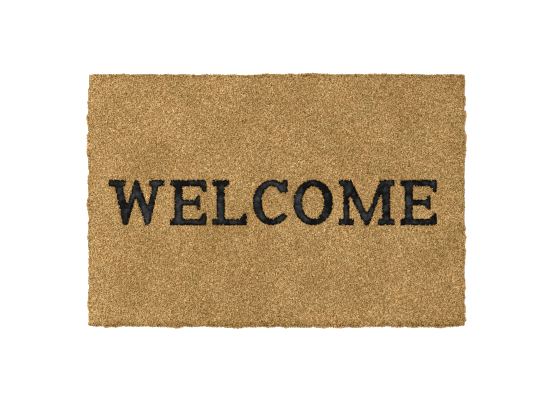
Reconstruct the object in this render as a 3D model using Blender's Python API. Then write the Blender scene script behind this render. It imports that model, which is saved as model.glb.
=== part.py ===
"""Coir door mat with seven rubber letters set into its pile, on a ribbed rubber backing sheet.

Units are metres and +Z is up. The origin is the centre of the mat's underside, +X runs along the
long side, the way the word is read, and +Y points to the tops of the letters.
"""

import math

import bmesh
import bpy
from mathutils import Vector

# Mat
MAT_LENGTH = 0.900
MAT_WIDTH = 0.600
BACKING_THICKNESS = 0.003
BACKING_INSET = 0.001  # from the pile's edge in to the sheet's edge
PILE_HEIGHT = 0.0137
BOND_GAP = 0.0003  # between two pieces that are bonded face to face
CUT_MARGIN = 0.005  # how far a cutter runs past the pile's top and bottom

# Grip ribs: what is left between the grooves in the sheet's underside
RIB_PITCH = 0.012
GROOVE_WIDTH = 0.004
GROOVE_DEPTH = 0.0008
PLAIN_EDGE = 0.010  # ungrooved strip along each long side

# Word
LEFT_MARGIN = 0.049
RIGHT_MARGIN = 0.0674
ROW_DROP = 0.005  # from the mat's middle down to the middle of the letters
LETTER_GAP = 0.013
LETTER_RECESS = 0.003  # from the pile's tips down to the letters' tops
LETTER_CHAMFER = 0.001
CAP_HEIGHT = 0.109
WORD = [
    ("letter_w", "w"),
    ("letter_e_first", "e"),
    ("letter_l", "l"),
    ("letter_c", "c"),
    ("letter_o", "o"),
    ("letter_m", "m"),
    ("letter_e_last", "e"),
]
# How wide each letter is for its share of the row
WIDTHS = {"w": 1.60, "e": 1.05, "l": 1.00, "c": 1.00, "o": 1.15, "m": 1.60}

# Strokes
STEM = 0.020
LIGHT_STEM = 0.0155  # the left upright of the M
ROUND_STEM = 0.0225  # the sides of the C and the O, at their widest
DIAGONAL = 0.0205  # a heavy slanted stroke, measured level
LIGHT_DIAGONAL = 0.0155  # a light one, measured level
BAR = 0.016  # level strokes and slab serifs
MIDDLE_BAR = 0.014
SERIF = 0.0105  # from a stroke's side to its slab's end
VERTEX = 0.011  # blunt foot where two diagonals meet
PEAK = 0.009  # flat top in the middle of the W

# Arm ends, which turn towards the middle of the letter
ARM_END_HEIGHT = 0.030
ARM_END_TIP = 0.0085
ARM_END_ROOT = 0.017
MIDDLE_ARM_SHARE = 0.83  # of the letter's width
MIDDLE_END_HEIGHT = 0.036
MIDDLE_END_TIP = 0.006
MIDDLE_END_ROOT = 0.014

# Round and slanted letters
W_FOOT_SHARE = 0.30  # from either side of the W to its nearer foot, as a share of its width
M_SHOULDER = 0.004  # from an upright of the M to the start of its diagonal
C_BOWL_SHARE = 1.11  # the width of the C's whole oval to the width of the letter
BEAK_WIDTH = 0.0125
BEAK_HEIGHT = 0.032
C_TIP_ANGLE = math.radians(-36)
C_TIP_WIDTH = 0.012
C_THROAT_ANGLE = math.radians(-62)
ROUND_STEPS = 48  # on a whole oval

COIR_COLOUR = (0.42, 0.25, 0.09)
RUBBER_COLOUR = (0.013, 0.014, 0.015)
BACKING_COLOUR = (0.010, 0.010, 0.011)
COIR_ROUGHNESS = 0.95
RUBBER_ROUGHNESS = 0.55
BACKING_ROUGHNESS = 0.70
SHARP_ANGLE = math.radians(30)

PILE_BOTTOM = BACKING_THICKNESS + BOND_GAP
PILE_TOP = PILE_BOTTOM + PILE_HEIGHT
LETTER_TOP = PILE_TOP - LETTER_RECESS
BASELINE = -ROW_DROP - CAP_HEIGHT / 2


# Outlines run anticlockwise, from a letter's lower left corner at (0, 0).


def on_oval(centre, radii, angle):
    return centre[0] + radii[0] * math.cos(angle), centre[1] + radii[1] * math.sin(angle)


def arc(centre, radii, start, end):
    """Points on an oval from one angle to another, both ends included."""
    steps = math.ceil(abs(end - start) / math.tau * ROUND_STEPS)
    return [on_oval(centre, radii, start + (end - start) * i / steps) for i in range(steps + 1)]


def oval(centre, radii):
    return arc(centre, radii, 0, math.tau)[:-1]


def flipped(points):
    """The points on the other side of the letter's level middle line, in reverse order."""
    return [(x, CAP_HEIGHT - y) for x, y in reversed(points)]


def foot_with_arm(width):
    """From the stem's left side round the lower slab and its upturned end to the stem's right side."""
    return [
        (SERIF, BAR),
        (0, BAR),
        (0, 0),
        (width, 0),
        (width, ARM_END_HEIGHT),
        (width - ARM_END_TIP, ARM_END_HEIGHT),
        (width - ARM_END_ROOT, BAR),
        (SERIF + STEM, BAR),
    ]


def outline_e(width):
    middle = CAP_HEIGHT / 2
    end = width * MIDDLE_ARM_SHARE
    lower = foot_with_arm(width) + [
        (SERIF + STEM, middle - MIDDLE_BAR / 2),
        (end - MIDDLE_END_ROOT, middle - MIDDLE_BAR / 2),
        (end - MIDDLE_END_TIP, middle - MIDDLE_END_HEIGHT / 2),
        (end, middle - MIDDLE_END_HEIGHT / 2),
    ]
    return lower + flipped(lower)


def outline_l(width):
    right = SERIF + STEM
    top_slab = [
        (right, CAP_HEIGHT - BAR),
        (right + SERIF, CAP_HEIGHT - BAR),
        (right + SERIF, CAP_HEIGHT),
        (0, CAP_HEIGHT),
        (0, CAP_HEIGHT - BAR),
        (SERIF, CAP_HEIGHT - BAR),
    ]
    return foot_with_arm(width) + top_slab


def outline_c(width):
    outer = (width * C_BOWL_SHARE / 2, CAP_HEIGHT / 2)
    inner = (outer[0] - ROUND_STEM, outer[1] - BAR)
    centre = outer
    beak_left = width - BEAK_WIDTH
    beak_bottom = CAP_HEIGHT - BEAK_HEIGHT
    outer_start = math.acos((beak_left - centre[0]) / outer[0])
    inner_end = math.asin((beak_bottom - centre[1]) / inner[1])
    outer_arc = arc(centre, outer, outer_start, math.tau + C_TIP_ANGLE)
    inner_arc = arc(centre, inner, math.tau + C_THROAT_ANGLE, inner_end)
    tip_radii = (outer[0] - C_TIP_WIDTH, outer[1] - C_TIP_WIDTH)
    tip = on_oval(centre, tip_radii, C_TIP_ANGLE)
    beak = [(width, beak_bottom), (width, CAP_HEIGHT), (beak_left, CAP_HEIGHT)]
    return outer_arc + [tip] + inner_arc + beak


def outline_o(width):
    centre = (width / 2, CAP_HEIGHT / 2)
    return oval(centre, centre)


def hole_o(width):
    centre = (width / 2, CAP_HEIGHT / 2)
    return oval(centre, (centre[0] - ROUND_STEM, centre[1] - BAR))


# A slanted stroke's side is given by where it meets the baseline and the line along the letters' tops.


def shifted(side, offset):
    return side[0] + offset, side[1] + offset


def side_at(side, height):
    return side[0] + (side[1] - side[0]) * height / CAP_HEIGHT, height


def crossing(one, other):
    """Where two sides meet."""
    share = (other[0] - one[0]) / (one[1] - one[0] - other[1] + other[0])
    return side_at(one, share * CAP_HEIGHT)


def outline_w(width):
    left_foot = width * W_FOOT_SHARE
    right_foot = width - left_foot
    peak = width / 2
    slab_bottom = CAP_HEIGHT - BAR
    left_slab = 2 * SERIF + DIAGONAL
    right_slab = width - 2 * SERIF - LIGHT_DIAGONAL
    first = (left_foot - VERTEX / 2, SERIF)  # the first and third strokes' left sides
    second = (left_foot + VERTEX / 2, peak - PEAK / 2 + LIGHT_DIAGONAL)  # the others' right sides
    third = (right_foot - VERTEX / 2, peak + PEAK / 2 - DIAGONAL)
    fourth = (right_foot + VERTEX / 2, width - SERIF)
    return [
        (first[0], 0),
        (second[0], 0),
        crossing(second, third),
        (third[0], 0),
        (fourth[0], 0),
        side_at(fourth, slab_bottom),
        (width, slab_bottom),
        (width, CAP_HEIGHT),
        (right_slab, CAP_HEIGHT),
        (right_slab, slab_bottom),
        side_at(shifted(fourth, -LIGHT_DIAGONAL), slab_bottom),
        crossing(shifted(third, DIAGONAL), shifted(fourth, -LIGHT_DIAGONAL)),
        (peak + PEAK / 2, CAP_HEIGHT),
        (peak - PEAK / 2, CAP_HEIGHT),
        crossing(shifted(first, DIAGONAL), shifted(second, -LIGHT_DIAGONAL)),
        side_at(shifted(first, DIAGONAL), slab_bottom),
        (left_slab, slab_bottom),
        (left_slab, CAP_HEIGHT),
        (0, CAP_HEIGHT),
        (0, slab_bottom),
        side_at(first, slab_bottom),
    ]


def outline_m(width):
    vertex = width / 2
    slab_bottom = CAP_HEIGHT - BAR
    left = SERIF + LIGHT_STEM
    right = width - SERIF - STEM
    heavy = (vertex - VERTEX / 2 + DIAGONAL, left + M_SHOULDER)  # the diagonals' upper sides
    light = (vertex + VERTEX / 2 - LIGHT_DIAGONAL, right - M_SHOULDER)
    left_stem, right_stem = (left, left), (right, right)
    return [
        (0, 0),
        (left + SERIF, 0),
        (left + SERIF, BAR),
        (left, BAR),
        crossing(left_stem, shifted(heavy, -DIAGONAL)),
        (vertex - VERTEX / 2, 0),
        (vertex + VERTEX / 2, 0),
        crossing(right_stem, shifted(light, LIGHT_DIAGONAL)),
        (right, BAR),
        (right - SERIF, BAR),
        (right - SERIF, 0),
        (width, 0),
        (width, BAR),
        (width - SERIF, BAR),
        (width - SERIF, slab_bottom),
        (width, slab_bottom),
        (width, CAP_HEIGHT),
        (light[1], CAP_HEIGHT),
        crossing(heavy, light),
        (heavy[1], CAP_HEIGHT),
        (0, CAP_HEIGHT),
        (0, slab_bottom),
        (SERIF, slab_bottom),
        (SERIF, BAR),
        (0, BAR),
    ]


OUTLINES = {
    "w": outline_w,
    "e": outline_e,
    "l": outline_l,
    "c": outline_c,
    "o": outline_o,
    "m": outline_m,
}


def grown(outline, gap):
    """The outline moved outwards by the gap, or inwards by a negative one, with corners kept sharp."""
    points = [Vector(p) for p in outline]
    moved = []
    for i, point in enumerate(points):
        before = (point - points[i - 1]).normalized()
        after = (points[(i + 1) % len(points)] - point).normalized()
        normals = Vector((before.y, -before.x)), Vector((after.y, -after.x))
        moved.append(point + (normals[0] + normals[1]) * gap / (1 + normals[0].dot(normals[1])))
    return [tuple(p) for p in moved]


# Meshes and objects


def material(name, colour, roughness):
    made = bpy.data.materials.new(name)
    made.use_nodes = True
    made.diffuse_color = (*colour, 1)
    shader = made.node_tree.nodes["Principled BSDF"]
    shader.inputs["Base Color"].default_value = (*colour, 1)
    shader.inputs["Roughness"].default_value = roughness
    shader.inputs["Metallic"].default_value = 0
    return made


def add_object(name, bm, place, parent):
    bmesh.ops.recalc_face_normals(bm, faces=bm.faces)
    mesh = bpy.data.meshes.new(name)
    bm.to_mesh(mesh)
    bm.free()
    mesh.shade_smooth()
    mesh.set_sharp_from_angle(angle=SHARP_ANGLE)
    made = bpy.data.objects.new(name, mesh)
    bpy.context.collection.objects.link(made)
    made.parent = parent
    made.location = place
    return made


def add_part(name, bm, place, parent, colour, roughness):
    made = add_object(name, bm, place, parent)
    made.data.materials.append(material(name, colour, roughness))
    return made


def flat_faces(bm, outline, hole=None):
    """One flat face inside the outline, or the ring of faces between it and a hole of as many points."""
    loops = []
    for points in [outline, hole] if hole else [outline]:
        verts = [bm.verts.new((x, y, 0)) for x, y in points]
        loops.append(verts)
    if not hole:
        return [bm.faces.new(loops[0])]
    edges = [
        bm.edges.new((verts[i - 1], verts[i])) for verts in loops for i in range(len(verts))
    ]
    return bmesh.ops.bridge_loops(bm, edges=edges)["faces"]


def raised(outline, height, chamfer=0.0, hole=None):
    """A solid of the outline's shape standing on Z = 0, with a chamfer round its top if asked."""
    bm = bmesh.new()
    faces = flat_faces(bm, outline, hole)
    lifted = bmesh.ops.extrude_face_region(bm, geom=faces)["geom"]
    top_verts = [g for g in lifted if isinstance(g, bmesh.types.BMVert)]
    top_faces = [g for g in lifted if isinstance(g, bmesh.types.BMFace)]
    bmesh.ops.translate(bm, verts=top_verts, vec=(0, 0, height - chamfer))
    if chamfer:
        bmesh.ops.recalc_face_normals(bm, faces=bm.faces)
        bmesh.ops.inset_region(bm, faces=top_faces, thickness=chamfer, depth=chamfer)
    return bm


def ribbed_profile(width):
    """The sheet's cross-section, with a rib centred on the mat's middle line."""
    half = width / 2
    pairs = int((half - PLAIN_EDGE) / RIB_PITCH)
    points = [(-half, BACKING_THICKNESS), (-half, 0)]
    for i in range(-pairs, pairs):
        left = (i + 0.5) * RIB_PITCH - GROOVE_WIDTH / 2
        right = left + GROOVE_WIDTH
        points += [(left, 0), (left, GROOVE_DEPTH), (right, GROOVE_DEPTH), (right, 0)]
    return points + [(half, 0), (half, BACKING_THICKNESS)]


def make_backing(parent):
    length = MAT_LENGTH - 2 * BACKING_INSET
    width = MAT_WIDTH - 2 * BACKING_INSET
    bm = bmesh.new()
    end = bm.faces.new([bm.verts.new((0, y, z)) for y, z in ribbed_profile(width)])
    drawn = bmesh.ops.extrude_face_region(bm, geom=[end])["geom"]
    far_verts = [g for g in drawn if isinstance(g, bmesh.types.BMVert)]
    bmesh.ops.translate(bm, verts=far_verts, vec=(length, 0, 0))
    place = (-length / 2, 0, 0)
    return add_part("backing_sheet", bm, place, parent, BACKING_COLOUR, BACKING_ROUGHNESS)


def make_pile(parent):
    corner = (MAT_LENGTH / 2, MAT_WIDTH / 2)
    slab = [(-corner[0], -corner[1]), (corner[0], -corner[1]), corner, (-corner[0], corner[1])]
    bm = raised(slab, PILE_HEIGHT)
    place = (0, 0, PILE_BOTTOM)
    return add_part("coir_pile", bm, place, parent, COIR_COLOUR, COIR_ROUGHNESS)


def cut_letter_opening(pile, name, outline, left, parent):
    """Cuts a letter's shape right through the pile, one bond gap larger than the letter."""
    cutter_bm = raised(grown(outline, BOND_GAP), PILE_HEIGHT + 2 * CUT_MARGIN)
    place = (left, BASELINE, PILE_BOTTOM - CUT_MARGIN)
    cutter = add_object("cut_" + name, cutter_bm, place, parent)
    cutter.hide_render = True
    cutter.display_type = "WIRE"
    cut = pile.modifiers.new(cutter.name, "BOOLEAN")
    cut.operation = "DIFFERENCE"
    cut.solver = "EXACT"
    cut.object = cutter


def make_letter(name, outline, hole, left, parent):
    bm = raised(outline, LETTER_TOP - PILE_BOTTOM, LETTER_CHAMFER, hole)
    place = (left, BASELINE, PILE_BOTTOM)
    return add_part(name, bm, place, parent, RUBBER_COLOUR, RUBBER_ROUGHNESS)


def make_island(hole, left, parent):
    """The pile that stands inside a ring-shaped letter, cut off from the rest."""
    bm = raised(grown(hole, -BOND_GAP), PILE_HEIGHT)
    place = (left, BASELINE, PILE_BOTTOM)
    return add_part("coir_pile_inside_o", bm, place, parent, COIR_COLOUR, COIR_ROUGHNESS)


def letter_places():
    """Each letter's name, kind, left edge and width, as the word fills the row between its margins."""
    row = MAT_LENGTH - LEFT_MARGIN - RIGHT_MARGIN
    share = (row - LETTER_GAP * (len(WORD) - 1)) / sum(WIDTHS[kind] for _, kind in WORD)
    left = LEFT_MARGIN - MAT_LENGTH / 2
    for name, kind in WORD:
        width = WIDTHS[kind] * share
        yield name, kind, left, width
        left += width + LETTER_GAP


def make_word(pile, parent):
    for name, kind, left, width in letter_places():
        outline = OUTLINES[kind](width)
        hole = hole_o(width) if kind == "o" else None
        make_letter(name, outline, hole, left, parent)
        cut_letter_opening(pile, name, outline, left, parent)
        if hole:
            make_island(hole, left, parent)


def main():
    for old in list(bpy.data.objects):
        bpy.data.objects.remove(old, do_unlink=True)
    mat = bpy.data.objects.new("door_mat", None)
    bpy.context.collection.objects.link(mat)
    make_backing(mat)
    make_word(make_pile(mat), mat)


main()
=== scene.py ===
import math

import bpy
import numpy as np
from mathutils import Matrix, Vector, noise
from mathutils.geometry import delaunay_2d_cdt


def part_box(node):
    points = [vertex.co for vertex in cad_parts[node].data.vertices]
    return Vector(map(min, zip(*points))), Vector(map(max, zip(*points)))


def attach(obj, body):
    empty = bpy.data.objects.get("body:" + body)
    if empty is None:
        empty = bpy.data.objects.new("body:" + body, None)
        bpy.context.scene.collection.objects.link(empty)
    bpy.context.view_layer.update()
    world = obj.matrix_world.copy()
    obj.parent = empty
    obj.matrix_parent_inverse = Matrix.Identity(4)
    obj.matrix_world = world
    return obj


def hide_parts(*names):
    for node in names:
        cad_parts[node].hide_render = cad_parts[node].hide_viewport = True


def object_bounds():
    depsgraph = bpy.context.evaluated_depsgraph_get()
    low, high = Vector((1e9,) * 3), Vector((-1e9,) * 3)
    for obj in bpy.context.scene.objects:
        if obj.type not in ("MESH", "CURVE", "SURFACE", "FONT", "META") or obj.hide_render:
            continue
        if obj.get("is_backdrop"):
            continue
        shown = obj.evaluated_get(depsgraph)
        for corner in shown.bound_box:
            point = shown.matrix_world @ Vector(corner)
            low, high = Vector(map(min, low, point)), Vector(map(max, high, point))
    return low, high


# Looks of the coir door mat: cut fibre pile, moulded rubber letters and a ribbed rubber backing.
# Every size is in metres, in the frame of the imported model: +X along the word, +Z up.

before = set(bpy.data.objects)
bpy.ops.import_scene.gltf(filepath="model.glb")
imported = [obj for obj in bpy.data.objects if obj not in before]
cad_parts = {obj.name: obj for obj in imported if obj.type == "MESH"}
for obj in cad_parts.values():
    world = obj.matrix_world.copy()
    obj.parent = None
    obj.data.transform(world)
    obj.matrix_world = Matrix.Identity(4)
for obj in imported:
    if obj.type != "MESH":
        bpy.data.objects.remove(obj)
CAD_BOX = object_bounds()

PILE_LOW, PILE_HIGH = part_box("coir_pile")
SHEET_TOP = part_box("backing_sheet")[1].z
TIP_HEIGHT = PILE_HIGH.z
LETTERS = sorted(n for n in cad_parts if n.startswith("letter_"))
LETTER_FOOT, LETTER_CROWN = (corner.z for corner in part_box(LETTERS[0]))

# Pile. A spread is one standard deviation, and a lean is a sideways run for each metre of height.
TUFT_PITCH = 0.0034
TUFT_RADIUS = 0.0013
FIBRES_PER_TUFT = 4
TURN_STEP = 0.618  # from one fibre of a tuft to the next, as a share of a whole turn
TURN_SPREAD = 0.4  # of the fibres' places round their tuft, in radians
TUFT_LEAN = 0.20
FIBRE_LEAN = 0.18
SPLAY = 0.35  # extra lean of a fibre at the tuft's rim, away from its middle
TUFT_HEIGHT_SPREAD = 0.0006
FIBRE_HEIGHT_SPREAD = 0.0004
RISE_LIMITS = (-0.003, 0.0012)  # of the tips, from the pile's height
SHORT_SHARE = 0.12
SHORT_BY = (0.0005, 0.0025)
FIBRE_RADII = (0.00060, 0.00056, 0.00046)  # at the root, half way up and at the cut end
THICKNESS = (0.75, 1.25)  # least and most, as shares of those radii
FIBRE_BOW = 0.0004
ROOT_DEPTH = 0.0062  # from the tips down to where the inner fibres start
ROOT_SWAY = 0.55  # share of a tip's sway that its root has
FIELD_RINGS = 3
RING_CORNERS = 3
TONE_MIDDLE = 0.5
TUFT_TONE_SPREAD = 0.15
FIBRE_TONE_SPREAD = 0.15
PAINTED_LIGHT_LEFT = 0.11  # painted light: how much paler the pile is at its left end, towards the key light
PAINTED_LIGHT_REACH = 0.09
STRIPS = 16

# Pile core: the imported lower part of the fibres
CORE_DEPTH = 0.0050
CORE_INSET = 0.0035
CORE_PITCH = 0.0055
CORE_STEP = 0.003  # longest side of its outlines
CORE_CLEAR = 0.0020  # between its outlines and the points inside them
CORE_GAP = 0.0004  # between it and the letters
CORE_FOOT_GAP = 0.0003  # between it and the sheet
CORE_RELIEF = 0.0009
CORE_BUMP = 0.006
CORE_TONE = 0.4
CORE_ALONG = 0.35  # the share of the way up the fibres whose colour it has, with the full painted shade of their roots

# Cut edge of the pile
EDGE_STEP = 0.00085
EDGE_ROWS = (0.0004, 0.0012, 0.0021, 0.0031)  # insets of the rows from the pile's edge
EDGE_ROW_SPREAD = 0.0002
EDGE_ROOT_GAP = 0.0001  # from the sheet up to the roots
EDGE_BOW = 0.0005
EDGE_RINGS = 4
EDGE_LEAN_OUT = 0.07
EDGE_LEAN_ALONG = 0.13
# low tone of the cut edge's fibres: painted shade on the mat's edges
EDGE_PAINTED_SHADE_TONE = 0.22
SIDE_WAVES = ((0.045, 0.0010), (0.011, 0.0010))  # lengths and heights of the waves along a side
SWAY_WIDTH = 0.012  # from a side in to where the pile no longer follows its waves
CORNER_PULL = 0.0042  # how far the corners sit inside the sides
CORNER_REACH = 0.045
# painted shade: the pile darker and browner along each side, most on the front and right, in uneven
# patches
RIM_PAINTED_SHADING_WIDTH = 0.017
RIM_PAINTED_SHADING_PATCH = 0.016
RIM_PAINTED_SHADING_UNEVEN = 1.2
RIM_PAINTED_SHADING_LIMITS = (0.2, 2)  # least and most of a side's painted shade, as shares of its own

# Letters
CORNER_RADIUS = 0.0026
CORNER_SHARE = 0.45  # of the shorter side next to a corner that its curve may take
CORNER_STEPS = (0, 0.25, 0.5, 0.75, 1)
LEAST_CORNER = math.radians(20)
OUTLINE_STEP = 0.0012
ROLL_WIDTH = 0.0036
ROLL_DROP = 0.0019
ROLL_RINGS = (0.0002, 0.0006, 0.0012, 0.0020, 0.0029)
RING_CLEAR = 0.92  # share of a ring's inset that its points keep from every outline
CROWN_RISE = 0.0005
CROWN_WIDTH = 0.010
LETTER_PITCH = 0.0022
LETTER_RELIEF = 0.00016
LETTER_BUMP = 0.009
LETTER_PAINTED_SHADE_WIDTH = 0.0075  # from a letter's outline in to its full colour: the width of its painted shade

# Fibres beside a letter, and tips at the pile's own edge
OVERHANG = 0.0034  # how far a fibre's tip may reach over a letter at most
LETTER_PULL = 0.16  # extra lean of the fibres beside a letter, towards it
LETTER_REACH = 0.004
LETTER_CLEAR = 0.0003  # between a letter and the roots of the fibres
EDGE_OVERHANG = 0.0016  # how far a tip may reach past the pile's edge at most

# Each fibre's cell on its map: how far up and across its points lie, as shares of the cell
CELL_HEIGHTS = (0.2, 0.8)
CELL_COLUMNS = (0.1, 0.5, 0.9)
CELL_ENDS = (0.02, 0.98)

# Coir colours. A shade multiplies the tone's own colour; the ones for the roots and for the fibres' sides
# are painted shade.
COIR_TONES = [
    (0.0, (0.318, 0.181, 0.041)),
    (0.35, (0.565, 0.383, 0.154)),
    (0.65, (0.768, 0.564, 0.277)),
    (1.0, (0.93, 0.737, 0.428)),
]
WHITE = (1.0, 1.0, 1.0, 1)
PATCH_SHADE = (0.85, 0.82, 0.74, 1)
WARM_SHADE = (1.01, 0.985, 0.97, 1)
COOL_SHADE = (0.985, 1.0, 0.99, 1)
# painted shade: darker and browner deep in the pile, towards the fibres' roots
ROOT_PAINTED_SHADE = (0.68, 0.53, 0.30, 1)
# painted shade on the fibres' sides, which leaves the upward cut ends paler
FIBRE_SIDE_PAINTED_SHADE = (0.82, 0.73, 0.56, 1)
COIR_ROUGHNESS = (0.72, 0.95)
COIR_SHINE = 0.15

# Rubber colours
# letters: black rubber with painted shade near the outline, and a charcoal painted sheen with some scuff
# wear along the middle of each stroke
LETTER_BLACK_AND_SHADE = (0.0010, 0.0009, 0.0008, 1)
LETTER_SHEEN_AND_WEAR = (0.0265, 0.0280, 0.0295, 1)
SHEEN_AND_WEAR_STREAKS = ((42.0, 0.0), (150.0, 0.40))  # noise scales, each with the least of the painted sheen and wear that it leaves
LETTER_ROUGHNESS = (0.45, 0.62)
LETTER_SHINE = 0.03
BACKING_TONES = [(0.3, (0.008, 0.008, 0.008)), (0.7, (0.016, 0.0155, 0.015))]
BACKING_ROUGHNESS = (0.6, 0.8)
BACKING_SHINE = 0.25
DUST = (0.045, 0.038, 0.028, 1)

# Noise scales in the materials, in 1/m: a larger one has finer detail
PATCH_SCALE = 9.0
HUE_SCALE = 26.0
STREAK_SCALE = 700.0
STREAK_STRETCH = (1, 1, 0.15)
COIR_SHEEN_SCALE = 500.0
CORE_BUMP_SCALE = 420.0
CLOUD_SCALE = 60.0
DUST_SCALE = 900.0
RUBBER_SHEEN_SCALE = 140.0
SKIN_SCALE = 1100.0
BACKING_SCALE = 14.0
FLOOR_SCALE = 1.5

# Stage
FLOOR_HALF = 12.0
FLOOR_GAP = 0.0002
FLOOR_GREYS = (0.93, 0.95)
FLOOR_ROUGHNESS = 0.9
FLOOR_SHINE = 0.1
FLOOR_GLOW = 0.35
WORLD_STRENGTH = 1.45
KEY_PLACE = (-1.6, 0.6, 3.6)
KEY_SIZE = 1.8
KEY_POWER = 147
KEY_COLOUR = (0.99, 0.985, 1.0)
LENS = 100
SENSOR_WIDTH = 36
MAT_SHARE = 0.6864  # of the picture's width
CAMERA_SHIFT = (-0.0039, 0.0012)  # from straight above the mat's middle

FIELD_SEED = 11
EDGE_SEED = 23
CORE_SEED = 37
WAVE_SEED = 61  # for the first side's waves, and one more for each side after it
CORE_LAYER, LETTER_LAYER, SIDE_LAYER = 0.5, 1.5, 2.5  # of the unevenness

MERGE = 1e-6
SAME_POINT = 1e-9
WALL = 1e-5
STRAIGHT = 0.01  # sine of the largest turn that isn't a corner
SCATTER_SHARE = 0.22  # of a grid's pitch that its points may be moved
TABLE_SIZE = 400000  # numbers worked on at a time


class Side:
    """One side of the mat, with the lean and the painted shade (a darker tone) of its fibres and its
    waves' strength.
    """

    def __init__(self, name, outward, lean_out, painted_shade, waves):
        half = np.array(PILE_HIGH.xy)
        self.name = name
        self.outward = np.array(outward)
        self.along = np.array((-outward[1], outward[0]))
        self.distance = abs(self.outward @ half)
        self.half_length = abs(self.along @ half)
        self.lean_out = lean_out
        self.painted_shade = painted_shade
        self.waves = waves

    def depth(self, points):
        """How far inside this side each point is."""
        return self.distance - points @ self.outward


SIDES = (  # anticlockwise
    Side("front", (0, -1), lean_out=0.20, painted_shade=-0.26, waves=1.4),
    Side("right", (1, 0), lean_out=0.04, painted_shade=-0.15, waves=2.6),
    Side("back", (0, 1), lean_out=0.14, painted_shade=-0.10, waves=1.0),
    Side("left", (-1, 0), lean_out=0.05, painted_shade=0.0, waves=1.8),
)


# Plan outlines


def bottom_loops(node):
    """The outlines of a node's flat underside, in plan: the outer one, then any hole's."""
    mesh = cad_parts[node].data
    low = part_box(node)[0].z
    places = {}
    keys = []
    for vertex in mesh.vertices:
        key = (round(vertex.co.x / MERGE), round(vertex.co.y / MERGE))
        places[key] = vertex.co.xy.copy()
        keys.append(key)
    mesh.calc_loop_triangles()
    edges = set()
    for triangle in mesh.loop_triangles:
        if max(mesh.vertices[v].co.z for v in triangle.vertices) < low + WALL:
            corners = [keys[v] for v in triangle.vertices]
            edges.update(zip(corners, corners[1:] + corners[:1]))
    after = {a: b for a, b in edges if (b, a) not in edges}
    loops = []
    while after:
        here = min(after)
        loop = []
        while here in after:
            loop.append(places[here])
            here = after.pop(here)
        loops.append(without_straights(loop[::-1]))
    return sorted(loops, key=lambda loop: -abs(area(loop)))


def area(loop):
    return sum(a.cross(b) for a, b in zip(loop, loop[1:] + loop[:1])) / 2


def without_straights(loop):
    kept = []
    for i, here in enumerate(loop):
        before = (here - loop[i - 1]).normalized()
        after = (loop[(i + 1) % len(loop)] - here).normalized()
        if abs(before.cross(after)) > STRAIGHT:
            kept.append(here)
    return kept


def rounded(loop, radius):
    """The loop with each real corner turned into a short curve."""
    points = []
    for i, here in enumerate(loop):
        before, after = loop[i - 1] - here, loop[(i + 1) % len(loop)] - here
        turn = math.pi - before.angle(after)
        if turn < LEAST_CORNER:
            points.append(here)
            continue
        longest = min(before.length, after.length) * CORNER_SHARE
        cut = min(radius * math.tan(turn / 2), longest)
        start, end = here + before.normalized() * cut, here + after.normalized() * cut
        for t in CORNER_STEPS:
            points.append(start * (1 - t) ** 2 + here * 2 * t * (1 - t) + end * t * t)
    return points


def stepped(loop, step):
    """The loop with points added so that no side is longer than the step."""
    points = []
    for a, b in zip(loop, loop[1:] + loop[:1]):
        count = max(1, math.ceil((b - a).length / step))
        points += [a.lerp(b, k / count) for k in range(count)]
    return points


def chunks(count, width):
    """Slices that cover this many rows, each small enough for quick work on a table of this width."""
    step = max(1, TABLE_SIZE // width)
    return [slice(first, first + step) for first in range(0, count, step)]


def is_inside(points, loop):
    """For each point, whether it is inside the loop."""
    corners = np.array(loop)
    inside = np.zeros(len(points), bool)
    near = np.flatnonzero(((points > corners.min(0)) & (points < corners.max(0))).all(1))
    after = np.roll(corners, -1, 0)
    rise = after[:, 1] - corners[:, 1]
    run = (after[:, 0] - corners[:, 0]) / np.where(rise == 0, 1, rise)
    for rows in chunks(len(near), len(corners)):
        x, y = points[near[rows]].T[..., None]
        crosses = (corners[:, 1] > y) != (after[:, 1] > y)
        left = x < corners[:, 0] + (y - corners[:, 1]) * run
        inside[near[rows]] = (crosses & left).sum(1) % 2 == 1
    return inside


def between(points, loops):
    """For each point, whether it is inside the outer loop and outside the holes."""
    inside = is_inside(points, loops[0])
    for hole in loops[1:]:
        inside &= ~is_inside(points, hole)
    return inside


def to_outline(points, loops):
    """For each point, its distance to the loops, negative inside them, and the way to the nearest."""
    distance = np.empty(len(points))
    way = np.empty((len(points), 2))
    starts = np.concatenate([np.array(loop) for loop in loops])
    run = np.concatenate([np.roll(np.array(loop), -1, 0) for loop in loops]) - starts
    squared = (run * run).sum(1)
    for rows in chunks(len(points), len(starts)):
        x, y = points[rows].T[..., None]
        x, y = x - starts[:, 0], y - starts[:, 1]
        share = ((x * run[:, 0] + y * run[:, 1]) / squared).clip(0, 1)
        x, y = share * run[:, 0] - x, share * run[:, 1] - y
        best = (x * x + y * y).argmin(1)[:, None]
        gap = np.column_stack([np.take_along_axis(x, best, 1), np.take_along_axis(y, best, 1)])
        length = np.linalg.norm(gap, axis=1)
        distance[rows] = length
        way[rows] = gap / (length[:, None] + MERGE)
    return np.where(between(points, loops), -distance, distance), way


OUTLINES = {n: [rounded(loop, CORNER_RADIUS) for loop in bottom_loops(n)] for n in LETTERS}
ISLAND_OUTLINE = OUTLINES["letter_o"][1]


def to_letters(points):
    """As to_outline, for the nearest letter. Points further off than LETTER_REACH get that distance."""
    distance = np.full(len(points), LETTER_REACH)
    way = np.zeros((len(points), 2))
    for loops in OUTLINES.values():
        corners = np.array(loops[0])
        low, high = corners.min(0) - LETTER_REACH, corners.max(0) + LETTER_REACH
        near = np.flatnonzero(((points > low) & (points < high)).all(1))
        found, towards = to_outline(points[near], loops)
        closer = found < distance[near]
        distance[near[closer]] = found[closer]
        way[near[closer]] = towards[closer]
    return distance, way


# Meshes


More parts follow.
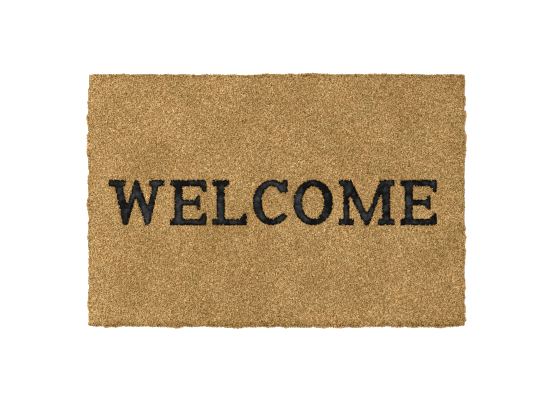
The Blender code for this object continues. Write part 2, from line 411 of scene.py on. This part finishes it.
def add_piece(name, points, faces, material, flat_triangles=False):
    """A mesh object from points and faces, which are an array of rows or a list of such arrays."""
    groups = faces if isinstance(faces, list) else [faces]
    corners = np.concatenate([g.ravel() for g in groups]).astype(np.int32)
    sizes = np.concatenate([np.full(len(g), g.shape[1]) for g in groups])
    starts = np.concatenate([[0], np.cumsum(sizes)[:-1]]).astype(np.int32)
    mesh = bpy.data.meshes.new(name)
    mesh.vertices.add(len(points))
    mesh.vertices.foreach_set("co", np.asarray(points, np.float32).ravel())
    mesh.loops.add(len(corners))
    mesh.loops.foreach_set("vertex_index", corners)
    mesh.polygons.add(len(sizes))
    mesh.polygons.foreach_set("loop_start", starts)
    mesh.update(calc_edges=True)
    mesh.polygons.foreach_set("use_smooth", sizes > 3 if flat_triangles else np.ones(len(sizes), bool))
    mesh.materials.append(material)
    piece = bpy.data.objects.new(name, mesh)
    bpy.context.scene.collection.objects.link(piece)
    return piece


def add_values(piece, name, values):
    attribute = piece.data.attributes.new(name, "FLOAT", "POINT")
    attribute.data.foreach_set("value", np.asarray(values, np.float32).ravel())


def filled(loops, extra):
    """Points and triangles that fill the loops in plan, and each loop's points by number."""
    inputs, edges, rings = [], [], []
    for loop in loops:
        ring = list(range(len(inputs), len(inputs) + len(loop)))
        inputs += [Vector(p) for p in loop]
        edges += list(zip(ring, ring[1:] + ring[:1]))
        rings.append(ring)
    inputs += [Vector(p) for p in extra]
    points, _, triangles, origins, _, _ = delaunay_2d_cdt(inputs, edges, [], 0, SAME_POINT, True)
    points = np.array(points)
    triangles = np.array(triangles)
    numbers = {old: new for new, olds in enumerate(origins) for old in olds}
    inside = between(points[triangles].mean(1), loops)
    return points, triangles[inside], [[numbers[i] for i in ring] for ring in rings]


def anticlockwise(loops):
    """The outer loop turned anticlockwise and the holes clockwise."""
    return [loop if (area(loop) > 0) == (i == 0) else loop[::-1] for i, loop in enumerate(loops)]


def add_plate(name, loops, extra, height, bottom, material):
    """A closed piece of the loops' shape, whose top follows height(points) and whose foot is flat."""
    loops = anticlockwise(loops)
    points, triangles, rings = filled(loops, extra)
    foot_points, foot_triangles, foot_rings = filled(loops, [])
    top = np.column_stack([points, height(points)])
    foot = np.column_stack([foot_points, np.full(len(foot_points), bottom)])
    first = len(top)
    walls = []
    for ring, foot_ring in zip(rings, foot_rings):
        upper, lower = np.array(ring), np.array(foot_ring) + first
        walls.append(np.column_stack([lower, np.roll(lower, -1), np.roll(upper, -1), upper]))
    faces = [triangles, foot_triangles[:, ::-1] + first] + walls
    return add_piece(name, np.concatenate([top, foot]), faces, material)


def scatter(low, high, pitch, rng):
    """Points on a staggered grid with a little disorder."""
    rows = np.arange(low[1], high[1], pitch * math.sqrt(0.75))
    found = []
    for i, y in enumerate(rows):
        x = np.arange(low[0] + pitch / 2 * (i % 2), high[0], pitch)
        found.append(np.column_stack([x, np.full(len(x), y)]))
    found = np.concatenate(found)
    return found + rng.uniform(-SCATTER_SHARE, SCATTER_SHARE, found.shape) * pitch


def uneven(points, size, layer):
    """Smooth bumps of about this size, from about -1 to 1. Each layer has bumps of its own."""
    return np.array([noise.noise((x / size, y / size, layer)) for x, y in points])


# Fibres


def fibre_faces(count, rings):
    """Sides and both ends of fibres that each have this many rings of three points."""
    template = []
    for ring in range(rings - 1):
        for corner in range(RING_CORNERS):
            a = ring * RING_CORNERS + corner
            b = ring * RING_CORNERS + (corner + 1) % RING_CORNERS
            template.append((a, b, b + RING_CORNERS, a + RING_CORNERS))
    ends = [(2, 1, 0), tuple(rings * RING_CORNERS - RING_CORNERS + i for i in range(RING_CORNERS))]
    first = np.arange(count)[:, None, None] * rings * RING_CORNERS
    sides = (np.array(template)[None] + first).reshape(-1, 4)
    caps = (np.array(ends)[None] + first).reshape(-1, 3)
    return [sides, caps]


def fibre_map(piece, count, rings):
    """A map on which each fibre has a square of its own."""
    across = math.ceil(math.sqrt(count))
    cell = np.arange(count)
    origin = np.column_stack([cell % across, cell // across]) / across
    levels = np.linspace(*CELL_HEIGHTS, rings)
    own = np.array([(u, v) for v in levels for u in CELL_COLUMNS])
    own[1, 1], own[-2, 1] = CELL_ENDS  # bends the end rings, so that the ends have width
    places = (origin[:, None] + own[None] / across).reshape(-1, 2)
    corners = np.empty(len(piece.data.loops), np.int32)
    piece.data.loops.foreach_get("vertex_index", corners)
    layer = piece.data.uv_layers.new(name="OFBake", do_init=False)
    layer.uv.foreach_set("vector", places[corners].astype(np.float32).ravel())


def add_fibres(name, centres, radii, tones, material, rng):
    """Fibres along rows of centres (fibre, ring, xyz), with a radius for each ring."""
    count, rings = centres.shape[:2]
    turn = rng.uniform(0, math.tau, count)
    angle = turn[:, None] + np.arange(RING_CORNERS)[None] * math.tau / RING_CORNERS
    spokes = np.stack([np.cos(angle), np.sin(angle), np.zeros_like(angle)], 2)
    points = centres[:, :, None] + radii[:, :, None, None] * spokes[:, None]
    piece = add_piece(name, points.reshape(-1, 3), fibre_faces(count, rings), material, True)
    each = (count, rings, RING_CORNERS)
    add_values(piece, "tone", np.broadcast_to(tones[:, None, None], each))
    along = (centres[:, :, 2] - SHEET_TOP) / (TIP_HEIGHT - SHEET_TOP)
    add_values(piece, "along", np.broadcast_to(along[:, :, None], each))
    fibre_map(piece, count, rings)
    return piece


def grown_fibres(roots, tips, rings, bow, thickness, rng):
    """Centres and radii of fibres from root to tip, each bowed a little to one side."""
    share = np.linspace(0, 1, rings)[None, :, None]
    centres = roots[:, None] * (1 - share) + tips[:, None] * share
    side = rng.normal(0, bow, (len(roots), 1, 2))
    centres[:, :, :2] += side * (4 * share * (1 - share))
    radii = np.interp(share[0, :, 0], (0, 0.5, 1), FIBRE_RADII)
    return centres, thickness[:, None] * radii[None]


def swayed(points):
    """The points moved in plan with the waves of the cut sides, and in where a corner is near."""
    moved = points.copy()
    for number, side in enumerate(SIDES):
        rng = np.random.default_rng(WAVE_SEED + number)
        place = points @ side.along
        shift = np.zeros(len(points))
        for length, height in SIDE_WAVES:
            reach = math.ceil(side.half_length / length) + 1
            knots = np.arange(-reach, reach + 1)
            heights = rng.normal(0, height * side.waves, len(knots))
            shift += np.interp(place / length, knots, heights)
        corner = 1 - ((side.half_length - np.abs(place)) / CORNER_REACH).clip(0, 1)
        shift -= CORNER_PULL * corner**2
        near = 1 - (side.depth(points) / SWAY_WIDTH).clip(0, 1)
        moved += (shift * near)[:, None] * side.outward
    return moved


def rim_painted_shade(points):
    """Painted shade: how much darker and browner the pile is close to each side, in uneven patches."""
    change = np.zeros(len(points))
    for side in SIDES:
        change += side.painted_shade * (1 - side.depth(points) / RIM_PAINTED_SHADING_WIDTH).clip(0, 1)
    patches = uneven(points, RIM_PAINTED_SHADING_PATCH, SIDE_LAYER)
    return change * (1 + RIM_PAINTED_SHADING_UNEVEN * patches).clip(*RIM_PAINTED_SHADING_LIMITS)


def tuft_spokes(count, rng):
    """Where each fibre stands round its tuft's middle, in shares of the tuft's radius."""
    each = (count, FIBRES_PER_TUFT)
    order = np.arange(FIBRES_PER_TUFT)[None]
    angle = order * math.tau * TURN_STEP + rng.uniform(0, math.tau, (count, 1))
    angle = angle + rng.normal(0, TURN_SPREAD, each)
    out = np.sqrt((order + rng.uniform(0, 1, each)) / FIBRES_PER_TUFT)
    return np.stack([np.cos(angle), np.sin(angle)], 2) * out[..., None]


def field_tufts(low, high, rng):
    """The root in plan, the lean, the rise of the tip and the tone of each fibre on the mat's face, with
    painted shade near the sides and painted light at the left end.
    """
    tufts = scatter(low, high, TUFT_PITCH, rng)
    count, total = len(tufts), len(tufts) * FIBRES_PER_TUFT
    each = (count, FIBRES_PER_TUFT)
    tuft_lean = rng.normal(0, TUFT_LEAN, (count, 1, 2))
    tuft_rise = rng.normal(0, TUFT_HEIGHT_SPREAD, (count, 1))
    tuft_tone = rng.normal(0, TUFT_TONE_SPREAD, (count, 1))
    spoke = tuft_spokes(count, rng)
    root = (tufts[:, None] + spoke * TUFT_RADIUS).reshape(-1, 2)
    lean = (tuft_lean + spoke * SPLAY + rng.normal(0, FIBRE_LEAN, (*each, 2))).reshape(-1, 2)
    rise = (tuft_rise + rng.normal(0, FIBRE_HEIGHT_SPREAD, each)).ravel().clip(*RISE_LIMITS)
    rise -= (rng.random(total) < SHORT_SHARE) * rng.uniform(*SHORT_BY, total)
    tone = (TONE_MIDDLE + tuft_tone + rng.normal(0, FIBRE_TONE_SPREAD, each)).ravel()
    # painted light: the pile paler towards its left end
    painted_light = PAINTED_LIGHT_LEFT * (1 - (root[:, 0] - low[0]) / PAINTED_LIGHT_REACH).clip(0, 1)
    return root, lean, rise, (tone + rim_painted_shade(root) + painted_light).clip(0, 1)


def field_picks(root, kept, low, high):
    """Which of the kept fibres belong to each piece: the strips, and the island inside the O."""
    in_hole = is_inside(root, ISLAND_OUTLINE)
    strip = ((root[:, 1] - low[1]) / (high[1] - low[1]) * STRIPS).astype(int).clip(0, STRIPS - 1)
    picks = {f"pile_rows_{i + 1:02d}": kept & ~in_hole & (strip == i) for i in range(STRIPS)}
    picks["pile_inside_o"] = kept & in_hole
    return picks


def make_field(material):
    """The fibres of the whole face of the mat, in strips along its length, and those inside the O."""
    rng = np.random.default_rng(FIELD_SEED)
    low = np.array(PILE_LOW.xy) + TUFT_PITCH / 4
    high = np.array(PILE_HIGH.xy) - TUFT_PITCH / 4
    root, lean, rise, tone = field_tufts(low, high, rng)
    total = len(root)
    thickness = rng.uniform(*THICKNESS, total)
    distance, way = to_letters(root)
    lean += way * (LETTER_PULL * (1 - distance / LETTER_REACH).clip(0, 1))[:, None]
    tip = root + lean * ROOT_DEPTH
    overhang = OVERHANG * rng.random(total) ** 2
    kept = (distance > LETTER_CLEAR) & (to_letters(tip)[0] > -overhang)
    kept &= (np.abs(tip) < np.array(PILE_HIGH.xy) + EDGE_OVERHANG).all(1)
    picks = field_picks(root, kept, low, high)
    root = root + (swayed(root) - root) * ROOT_SWAY
    roots = np.column_stack([root, np.full(total, TIP_HEIGHT - ROOT_DEPTH)])
    tips = np.column_stack([swayed(tip), TIP_HEIGHT + rise])
    centres, radii = grown_fibres(roots, tips, FIELD_RINGS, FIBRE_BOW, thickness, rng)
    return [add_fibres(name, centres[p], radii[p], tone[p], material, rng) for name, p in picks.items()]


def make_edge(side, material, rng):
    """The long fibres of one cut side, standing on the sheet from one corner to the next."""
    length = 2 * side.half_length
    per_row = int(length / EDGE_STEP)
    roots, tips, tones = [], [], []
    for inset in EDGE_ROWS:
        place = (np.arange(per_row) + rng.uniform(0, 1, per_row)) * length / per_row - length / 2
        out = side.distance - inset + rng.normal(0, EDGE_ROW_SPREAD, per_row)
        root = place[:, None] * side.along + out[:, None] * side.outward
        lean = (side.lean_out + rng.normal(0, EDGE_LEAN_OUT, per_row))[:, None] * side.outward
        lean = lean + rng.normal(0, EDGE_LEAN_ALONG, per_row)[:, None] * side.along
        height = TIP_HEIGHT - SHEET_TOP + rng.normal(0, TUFT_HEIGHT_SPREAD, per_row)
        roots.append(np.column_stack([root, np.full(per_row, SHEET_TOP + EDGE_ROOT_GAP)]))
        tips.append(np.column_stack([swayed(root) + lean * height[:, None], SHEET_TOP + height]))
        # the edge fibres' low tone and half of their side's darkening are painted shade
        tones.append(EDGE_PAINTED_SHADE_TONE + side.painted_shade / 2 + rng.normal(0, FIBRE_TONE_SPREAD, per_row))
    roots, tips = np.concatenate(roots), np.concatenate(tips)
    tones = np.concatenate(tones).clip(0, 1)
    thickness = rng.uniform(*THICKNESS, len(roots))
    centres, radii = grown_fibres(roots, tips, EDGE_RINGS, EDGE_BOW, thickness, rng)
    return add_fibres("pile_edge_" + side.name, centres, radii, tones, material, rng)


def make_edges(material):
    rng = np.random.default_rng(EDGE_SEED)
    return [make_edge(side, material, rng) for side in SIDES]


# Core and letters


def core_height(points):
    return TIP_HEIGHT - CORE_DEPTH - CORE_RELIEF + CORE_RELIEF * uneven(points, CORE_BUMP, CORE_LAYER)


def moved_out(loop, gap):
    """The loop moved outwards by a gap that is small beside its curves."""
    points = []
    for i, here in enumerate(loop):
        along = (loop[(i + 1) % len(loop)] - loop[i - 1]).normalized()
        points.append(here + Vector((along.y, -along.x)) * gap)
    return points


def make_main_core(material, rng):
    x, y = PILE_HIGH.x - CORE_INSET, PILE_HIGH.y - CORE_INSET
    outside = [Vector(p) for p in ((-x, -y), (x, -y), (x, y), (-x, y))]
    holes = [moved_out(anticlockwise([loops[0]])[0], CORE_GAP) for loops in OUTLINES.values()]
    loops = [stepped(loop, CORE_STEP) for loop in [outside] + holes]
    x, y = x - CORE_CLEAR, y - CORE_CLEAR
    extra = scatter((-x, -y), (x, y), CORE_PITCH, rng)
    extra = extra[(to_letters(extra)[0] > CORE_CLEAR) & ~is_inside(extra, ISLAND_OUTLINE)]
    return add_plate("pile_core", loops, extra, core_height, SHEET_TOP + CORE_FOOT_GAP, material)


def make_island_core(material, rng):
    loop = stepped(moved_out(anticlockwise([ISLAND_OUTLINE])[0], -CORE_GAP), CORE_STEP)
    corners = np.array(loop)
    extra = scatter(corners.min(0), corners.max(0), CORE_PITCH, rng)
    extra = extra[to_outline(extra, [loop])[0] < -CORE_CLEAR]
    bottom = SHEET_TOP + CORE_FOOT_GAP
    return add_plate("pile_core_inside_o", [loop], extra, core_height, bottom, material)


def make_cores(material):
    """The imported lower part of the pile, which closes the gaps between the fibres, and the island's."""
    rng = np.random.default_rng(CORE_SEED)
    cores = [make_main_core(material, rng), make_island_core(material, rng)]
    for piece in cores:
        add_values(piece, "tone", np.full(len(piece.data.vertices), CORE_TONE))
        add_values(piece, "along", np.full(len(piece.data.vertices), CORE_ALONG))
    return cores


def letter_height(points, loops):
    """A roll down to the outline, a slight crown in the middle of each stroke and faint unevenness."""
    depth = -to_outline(points, loops)[0]
    roll = 1 - np.sqrt(1 - (1 - (depth / ROLL_WIDTH).clip(0, 1)) ** 2)
    crown = 1 - (1 - (depth / CROWN_WIDTH).clip(0, 1)) ** 2
    relief = LETTER_RELIEF * uneven(points, LETTER_BUMP, LETTER_LAYER)
    return LETTER_CROWN - ROLL_DROP * roll + CROWN_RISE * crown + relief


def letter_points(loops, rng):
    """Points inside a letter: rings close to its outlines, for the roll, and a scatter between them."""
    rings = []
    for loop in loops:
        for inset in ROLL_RINGS:
            ring = np.array(moved_out(loop, -inset))
            rings.append(ring[-to_outline(ring, loops)[0] > inset * RING_CLEAR])
    corners = np.array(loops[0])
    middle = scatter(corners.min(0), corners.max(0), LETTER_PITCH, rng)
    middle = middle[-to_outline(middle, loops)[0] > ROLL_WIDTH]
    return np.concatenate(rings + [middle])


def make_letter(node, material):
    rng = np.random.default_rng(sum(map(ord, node)))  # each letter's own, from its name
    loops = anticlockwise([stepped(loop, OUTLINE_STEP) for loop in OUTLINES[node]])
    extra = letter_points(loops, rng)

    def height(points):
        return letter_height(points, loops)

    piece = add_plate(node + "_rubber", loops, extra, height, LETTER_FOOT, material)
    places = np.array([v.co.xy for v in piece.data.vertices])
    # the inset places the painted shade at the outline and the painted sheen and wear along the middle
    inset = -to_outline(places, loops)[0] / LETTER_PAINTED_SHADE_WIDTH
    top = np.array([v.co.z for v in piece.data.vertices]) > (LETTER_FOOT + LETTER_CROWN) / 2
    add_values(piece, "inset", np.where(top, inset.clip(0, 1), 0))
    return piece


# Materials


class Nodes:
    """Short calls for adding shader nodes to a new material."""

    def __init__(self, name):
        self.material = bpy.data.materials.new(name)
        self.material.use_nodes = True
        self.tree = self.material.node_tree
        self.shader = self.tree.nodes["Principled BSDF"]

    def add(self, kind, inputs=(), **settings):
        made = self.tree.nodes.new("ShaderNode" + kind)
        for key, value in settings.items():
            setattr(made, key, value)
        for key, value in dict(inputs).items():
            self.feed(made.inputs[key], value)
        return made

    def feed(self, socket, value):
        if isinstance(value, bpy.types.NodeSocket):
            self.tree.links.new(value, socket)
        else:
            socket.default_value = value

    def set(self, name, value):
        self.feed(self.shader.inputs[name], value)

    def object_place(self):
        return self.add("TexCoord").outputs["Object"]

    def noise(self, scale, detail=2.0, roughness=0.5, stretch=None):
        place = self.object_place()
        if stretch:
            place = self.add("Mapping", {"Vector": place, "Scale": stretch}).outputs[0]
        inputs = {"Vector": place, "Scale": scale, "Detail": detail, "Roughness": roughness}
        return self.add("TexNoise", inputs).outputs["Fac"]

    def ranged(self, value, low, high, to_low=0.0, to_high=1.0):
        inputs = {"Value": value, "From Min": low, "From Max": high, "To Min": to_low, "To Max": to_high}
        return self.add("MapRange", inputs).outputs[0]

    def ramp(self, value, stops):
        made = self.add("ValToRGB", {"Fac": value})
        ramp = made.color_ramp
        while len(ramp.elements) < len(stops):
            ramp.elements.new(0.5)
        for element, (place, colour) in zip(ramp.elements, stops):
            element.position = place
            element.color = (*colour, 1)
        return made.outputs["Color"]

    def mix(self, kind, share, a, b):
        made = self.add("Mix", data_type="RGBA", blend_type=kind)
        self.feed(made.inputs["Factor"], share)
        self.feed(made.inputs[6], a)
        self.feed(made.inputs[7], b)
        return made.outputs[2]

    def grey(self, value):
        return self.add("CombineColor", {"Red": value, "Green": value, "Blue": value}).outputs[0]

    def value(self, name):
        return self.add("Attribute", attribute_name=name).outputs["Fac"]

    def bump(self, height, strength, distance):
        inputs = {"Height": height, "Strength": strength, "Distance": distance}
        self.set("Normal", self.add("Bump", inputs).outputs[0])


def upward_share(m):
    """1 where the surface faces up, as at a fibre's cut end, and 0 on its sides."""
    upward = m.add("SeparateXYZ", {"Vector": m.add("NewGeometry").outputs["Normal"]}).outputs["Z"]
    return m.ranged(upward, 0.4, 0.9)


def coir_material(name, rough_bump):
    """Golden brown coconut fibre with each fibre and each patch its own tone, and painted shade that
    makes it darker and browner towards the roots and on the fibres' sides.
    """
    m = Nodes(name)
    colour = m.ramp(m.value("tone"), COIR_TONES)
    patch = m.ranged(m.noise(PATCH_SCALE, detail=3.0, roughness=0.55), 0.35, 0.65)
    colour = m.mix("MIX", patch, m.mix("MULTIPLY", 1.0, colour, PATCH_SHADE), colour)
    hue = m.ranged(m.noise(HUE_SCALE), 0.38, 0.62)
    grain = m.noise(STREAK_SCALE, roughness=0.6, stretch=STREAK_STRETCH)
    streak = m.ranged(grain, 0.3, 0.7, 0.86, 1.1)
    # painted shade: darker and browner towards the roots, where the pile is deep
    depth = m.ranged(m.value("along"), 0.55, 1.0)
    shades = [
        m.mix("MIX", hue, WARM_SHADE, COOL_SHADE),
        m.grey(streak),
        m.mix("MIX", depth, ROOT_PAINTED_SHADE, WHITE),
        # painted shade on the fibres' sides, which leaves the upward cut ends paler
        m.mix("MIX", upward_share(m), FIBRE_SIDE_PAINTED_SHADE, WHITE),
    ]
    for shade in shades:
        colour = m.mix("MULTIPLY", 1.0, colour, shade)
    m.set("Base Color", colour)
    m.set("Roughness", m.ranged(m.noise(COIR_SHEEN_SCALE), 0.3, 0.7, *COIR_ROUGHNESS))
    m.set("Specular IOR Level", COIR_SHINE)
    if rough_bump:
        m.bump(m.noise(CORE_BUMP_SCALE, detail=4.0, roughness=0.7), strength=0.9, distance=0.0012)
    return m.material


def rubber_skin(m, base, shine, roughness):
    """Faint mottling, a fine skin and a little dust over a rubber's base colour."""
    cloud = m.ranged(m.noise(CLOUD_SCALE, detail=3.0, roughness=0.6), 0.3, 0.7, 0.75, 1.25)
    base = m.mix("MULTIPLY", 1.0, base, m.grey(cloud))
    dust = m.ranged(m.noise(DUST_SCALE, roughness=0.7), 0.66, 0.78, 0.0, 0.35)
    m.set("Base Color", m.mix("MIX", dust, base, DUST))
    sheen = m.noise(RUBBER_SHEEN_SCALE, detail=3.0, roughness=0.6)
    m.set("Roughness", m.ranged(sheen, 0.3, 0.7, *roughness))
    m.set("Specular IOR Level", shine)
    m.bump(m.noise(SKIN_SCALE, detail=3.0, roughness=0.6), strength=0.35, distance=0.00012)
    return m.material


def letter_material():
    """Black moulded rubber with painted shade near the outline, and charcoal along the middle of each
    stroke, a painted sheen with some scuff wear.
    """
    m = Nodes("letter_rubber")
    # painted shade near the outline, painted sheen and some scuff wear along the middle
    sheen_and_wear = m.ranged(m.value("inset"), 0.30, 0.95)
    for scale, least in SHEEN_AND_WEAR_STREAKS:
        streak = m.ranged(m.noise(scale, detail=3.0, roughness=0.6), 0.42, 0.62, least)
        sheen_and_wear = m.add("Math", {0: sheen_and_wear, 1: streak}, operation="MULTIPLY").outputs[0]
    base = m.mix("MIX", sheen_and_wear, LETTER_BLACK_AND_SHADE, LETTER_SHEEN_AND_WEAR)
    return rubber_skin(m, base, LETTER_SHINE, LETTER_ROUGHNESS)


def backing_material():
    m = Nodes("backing_rubber")
    base = m.ramp(m.noise(BACKING_SCALE, detail=3.0, roughness=0.6), BACKING_TONES)
    return rubber_skin(m, base, BACKING_SHINE, BACKING_ROUGHNESS)


# Stage


def make_stage():
    m = Nodes("floor_white")
    m.set("Base Color", m.grey(m.ranged(m.noise(FLOOR_SCALE), 0.3, 0.7, *FLOOR_GREYS)))
    m.set("Roughness", FLOOR_ROUGHNESS)
    m.set("Specular IOR Level", FLOOR_SHINE)
    m.set("Emission Color", WHITE)
    m.set("Emission Strength", FLOOR_GLOW)
    height = CAD_BOX[0][2] - FLOOR_GAP
    quarters = ((-1, -1), (1, -1), (1, 1), (-1, 1))
    corners = [(x * FLOOR_HALF, y * FLOOR_HALF, height) for x, y in quarters]
    floor = add_piece("floor", corners, np.array([[0, 1, 2, 3]]), m.material)
    floor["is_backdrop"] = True


def make_light():
    world = bpy.data.worlds.new("pale_studio")
    world.use_nodes = True
    background = world.node_tree.nodes["Background"]
    background.inputs["Color"].default_value = WHITE
    background.inputs["Strength"].default_value = WORLD_STRENGTH
    bpy.context.scene.world = world
    light = bpy.data.lights.new("key", "AREA")
    light.shape = "DISK"
    light.size = KEY_SIZE
    light.energy = KEY_POWER
    light.color = KEY_COLOUR
    key = bpy.data.objects.new("key", light)
    bpy.context.scene.collection.objects.link(key)
    key.location = KEY_PLACE
    key.rotation_euler = (-Vector(KEY_PLACE)).to_track_quat("-Z", "Y").to_euler()
    bpy.context.scene.view_settings.view_transform = "Standard"
    bpy.context.scene.cycles.use_denoising = False  # it would smear the fine fibres


def make_camera():
    lens = bpy.data.cameras.new("camera")
    lens.lens = LENS
    lens.sensor_width = SENSOR_WIDTH
    camera = bpy.data.objects.new("camera", lens)
    bpy.context.scene.collection.objects.link(camera)
    seen_width = (PILE_HIGH.x - PILE_LOW.x) / MAT_SHARE
    camera.location = (*CAMERA_SHIFT, TIP_HEIGHT + seen_width * LENS / SENSOR_WIDTH)
    bpy.context.scene.camera = camera


def finish_piece(piece, slot, *nodes):
    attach(piece, "root")
    if nodes:
        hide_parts(*nodes)


def main():
    make_camera()
    make_light()
    make_stage()
    coir = coir_material("coir_fibre", False)
    packed = coir_material("coir_packed", True)
    rubber = letter_material()
    backing = backing_material()
    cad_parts["backing_sheet"].data.materials.clear()
    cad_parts["backing_sheet"].data.materials.append(backing)
    for piece in make_field(coir) + make_edges(coir):
        finish_piece(piece, "coir")
    core, core_island = make_cores(packed)
    finish_piece(core, "coir", "coir_pile")
    finish_piece(core_island, "coir", "coir_pile_inside_o")
    for node in LETTERS:
        finish_piece(make_letter(node, rubber), "letters", node)


main()

plain = [[[float(v) for v in corner] for corner in box] for box in (CAD_BOX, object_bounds())]
